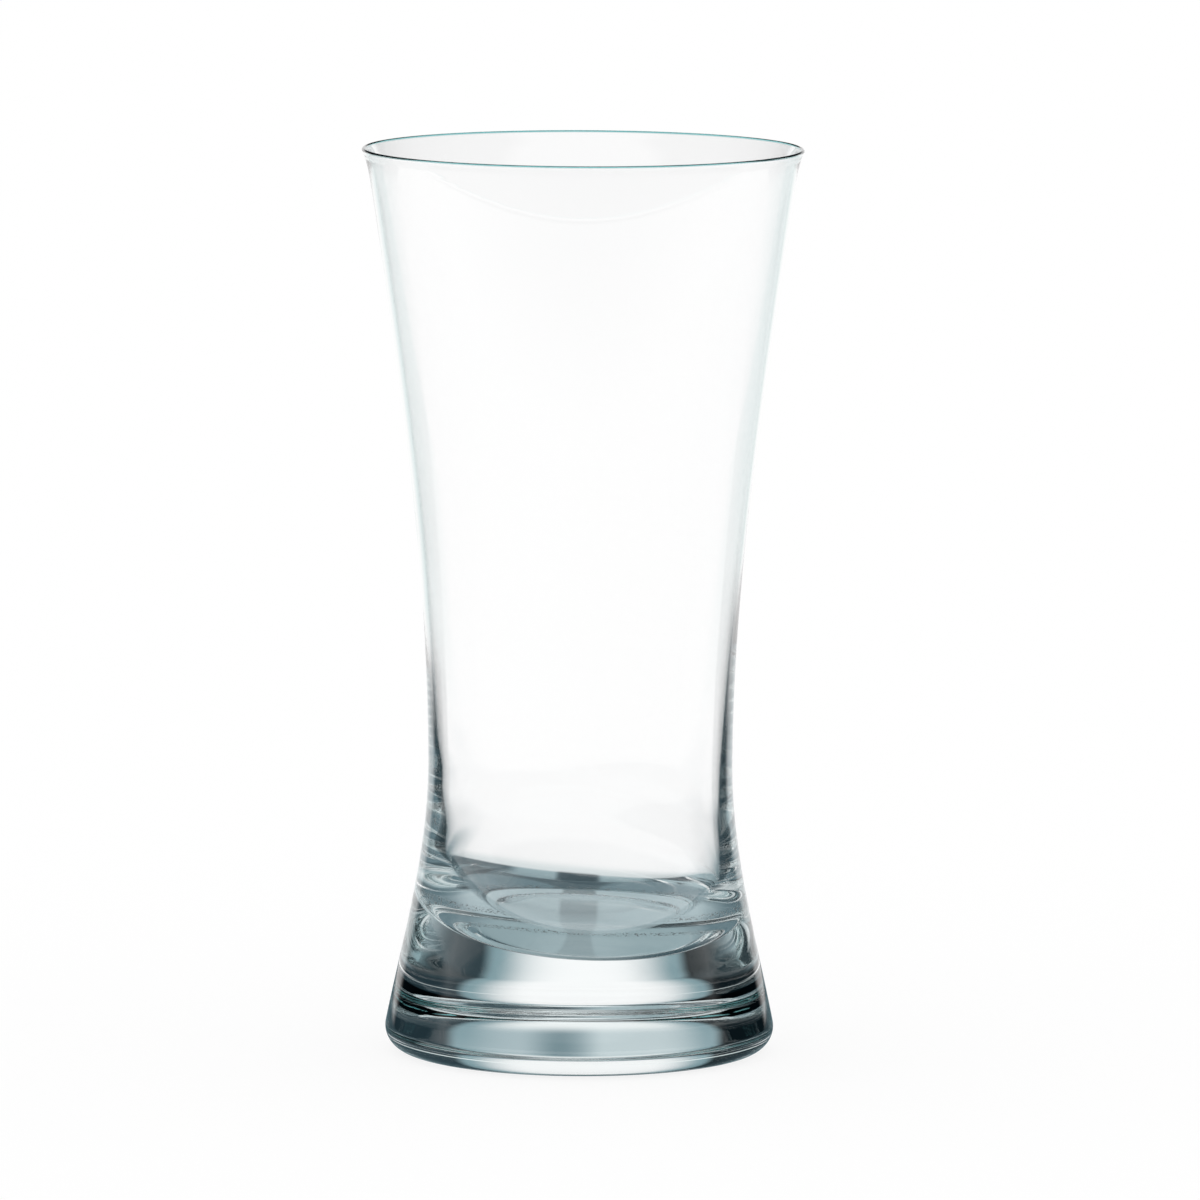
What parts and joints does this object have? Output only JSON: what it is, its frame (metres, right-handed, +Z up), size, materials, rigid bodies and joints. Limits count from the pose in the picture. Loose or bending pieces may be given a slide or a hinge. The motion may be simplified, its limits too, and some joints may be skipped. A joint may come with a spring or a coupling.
{
  "type": "highball glass",
  "caption": "Tall clear drinking glass with a thin flared rim, a narrow waist and a heavy flared solid foot with a rounded heel.",
  "frame": {"origin": "centre of the ring that the glass stands on", "axes": "+Z up along the axis of the glass, towards the mouth; the shape is turned, so X and Y are alike"},
  "size_m": [0.0774, 0.0774, 0.16],
  "materials": {
    "clear_glass": "polished"
  },
  "bodies": {
    "root": {"bowl": "clear_glass", "foot": "clear_glass"}
  },
  "joints": []
}
